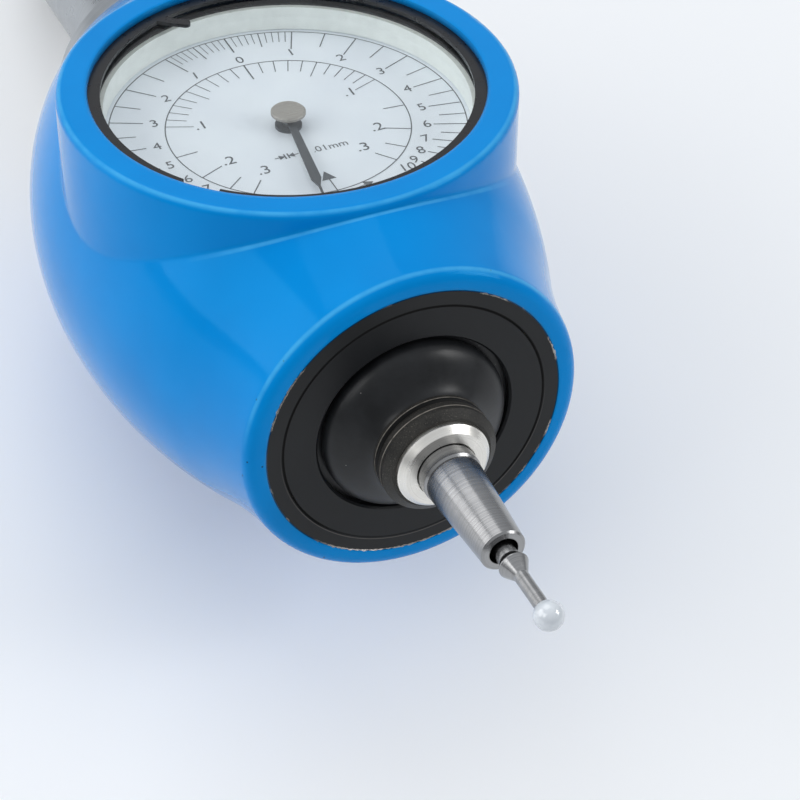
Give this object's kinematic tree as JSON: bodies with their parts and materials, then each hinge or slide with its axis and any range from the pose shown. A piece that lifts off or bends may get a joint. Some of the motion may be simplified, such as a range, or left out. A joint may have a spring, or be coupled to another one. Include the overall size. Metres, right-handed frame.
{
  "type": "three-axis edge finder",
  "caption": "Edge finder for a milling spindle: a round shank, a barrel housing with a glazed dial, and a sprung tilting probe ending in a ball.",
  "frame": {"origin": "on the tool axis at the shoulder where the shank leaves its collar", "axes": "+Y out along the shank, away from the stylus; +Z along the dial's outward normal"},
  "size_m": [0.0688, 0.1882, 0.0623],
  "materials": {
    "blue_paint": "glossy sprayed blue paint",
    "black_steel": "blackened, satin",
    "boot_rubber": "smooth matt black rubber",
    "ground_steel": "ground",
    "screw_steel": "blackened screw steel",
    "sintered_steel": "dark, matt, finely grained",
    "nickel_plate": "polished nickel plate",
    "polished_steel": "polished, turned",
    "white_ceramic": "polished white ceramic",
    "spring_steel": "drawn wire",
    "bearing_bronze": "turned bronze",
    "train_brass": "milled brass",
    "dial_white": "printed matt white enamel",
    "spacer_white": "plain moulding",
    "pointer_grey": "matt dark grey",
    "hub_metal": "turned, satin",
    "snap_black": "black oxide, semi-gloss",
    "crystal_glass": "clear",
    "seal_rubber": "plain"
  },
  "bodies": {
    "housing": {"housing": "blue_paint", "front_ring": "black_steel", "boot_clamp": "black_steel", "rubber_boot": "boot_rubber", "guide_bush": "bearing_bronze", "bush_screws": "screw_steel", "guide_pin": "ground_steel", "plunger_bush": "bearing_bronze", "main_spring": "spring_steel", "reset_spring": "spring_steel", "hairspring": "bearing_bronze", "hairspring_stud": "train_brass", "lower_plate": "train_brass", "upper_plate": "train_brass", "plate_pillars": "train_brass", "plate_screws": "screw_steel", "arbor_bushes": "bearing_bronze", "dial_face": "dial_white", "dial_bush": "pointer_grey", "spacer_ring": "spacer_white", "crystal_gasket": "seal_rubber", "crystal": "crystal_glass", "snap_ring": "snap_black", "shank": "ground_steel", "collar_seal": "seal_rubber", "collar_screws": "screw_steel", "run_out_screws": "screw_steel"},
    "carriage": {"carriage": "ground_steel", "socket_ring": "ground_steel"},
    "cross_pin": {"cross_pin": "ground_steel"},
    "probe": {"probe_arm": "ground_steel", "rear_washer": "sintered_steel", "front_washer": "sintered_steel", "clamp_nut": "nickel_plate", "probe_tube": "polished_steel", "stylus": "polished_steel", "stylus_ball": "white_ceramic"},
    "plunger": {"plunger": "ground_steel", "rack": "ground_steel"},
    "drive_arbor": {"drive_arbor": "ground_steel", "drive_wheel": "train_brass"},
    "pointer": {"centre_arbor": "ground_steel", "pointer": "pointer_grey", "pointer_hub": "hub_metal"},
    "take_up": {"take_up_arbor": "ground_steel", "take_up_wheel": "train_brass"}
  },
  "joints": [
    {"name": "probe_slide", "type": "slide", "parent": "housing", "child": "carriage", "axis": [0, 1, 0], "range_m": [0, 0.004], "stiffness_N_per_m": 1000, "springref_m": -0.004, "deforming": ["rubber_boot", "main_spring", "reset_spring"]},
    {"name": "probe_swing", "type": "hinge", "parent": "carriage", "child": "cross_pin", "pos_m": [0, -0.088, 0], "axis": [0, 0, 1], "range_deg": [-5, 5], "stiffness_Nm_per_rad": 1.1},
    {"name": "probe_nod", "type": "hinge", "parent": "cross_pin", "child": "probe", "pos_m": [0, -0.088, 0], "axis": [1, 0, 0], "range_deg": [-5, 5], "stiffness_Nm_per_rad": 1.1},
    {"name": "plunger_slide", "type": "slide", "parent": "housing", "child": "plunger", "axis": [0, 1, 0], "range_m": [0, 0.004]},
    {"name": "drive_spin", "type": "hinge", "parent": "housing", "child": "drive_arbor", "pos_m": [-0.002, -0.04425, 0.0139], "axis": [0, 0, 1], "range_deg": [0, 115]},
    {"name": "pointer_spin", "type": "hinge", "parent": "housing", "child": "pointer", "pos_m": [0, -0.052, 0.0139], "axis": [0, 0, 1], "range_deg": [-344, 0]},
    {"name": "take_up_spin", "type": "hinge", "parent": "housing", "child": "take_up", "pos_m": [-0.00514, -0.05813, 0.0139], "axis": [0, 0, 1], "range_deg": [0, 115], "deforming": ["hairspring"]}
  ],
  "couplings": [
    {"joint": "plunger_slide", "follows": "probe_slide", "ratio": 1},
    {"joint": "drive_spin", "follows": "probe_slide", "rad_per_m": 500},
    {"joint": "pointer_spin", "follows": "probe_slide", "rad_per_m": -1500},
    {"joint": "take_up_spin", "follows": "probe_slide", "rad_per_m": 500}
  ]
}
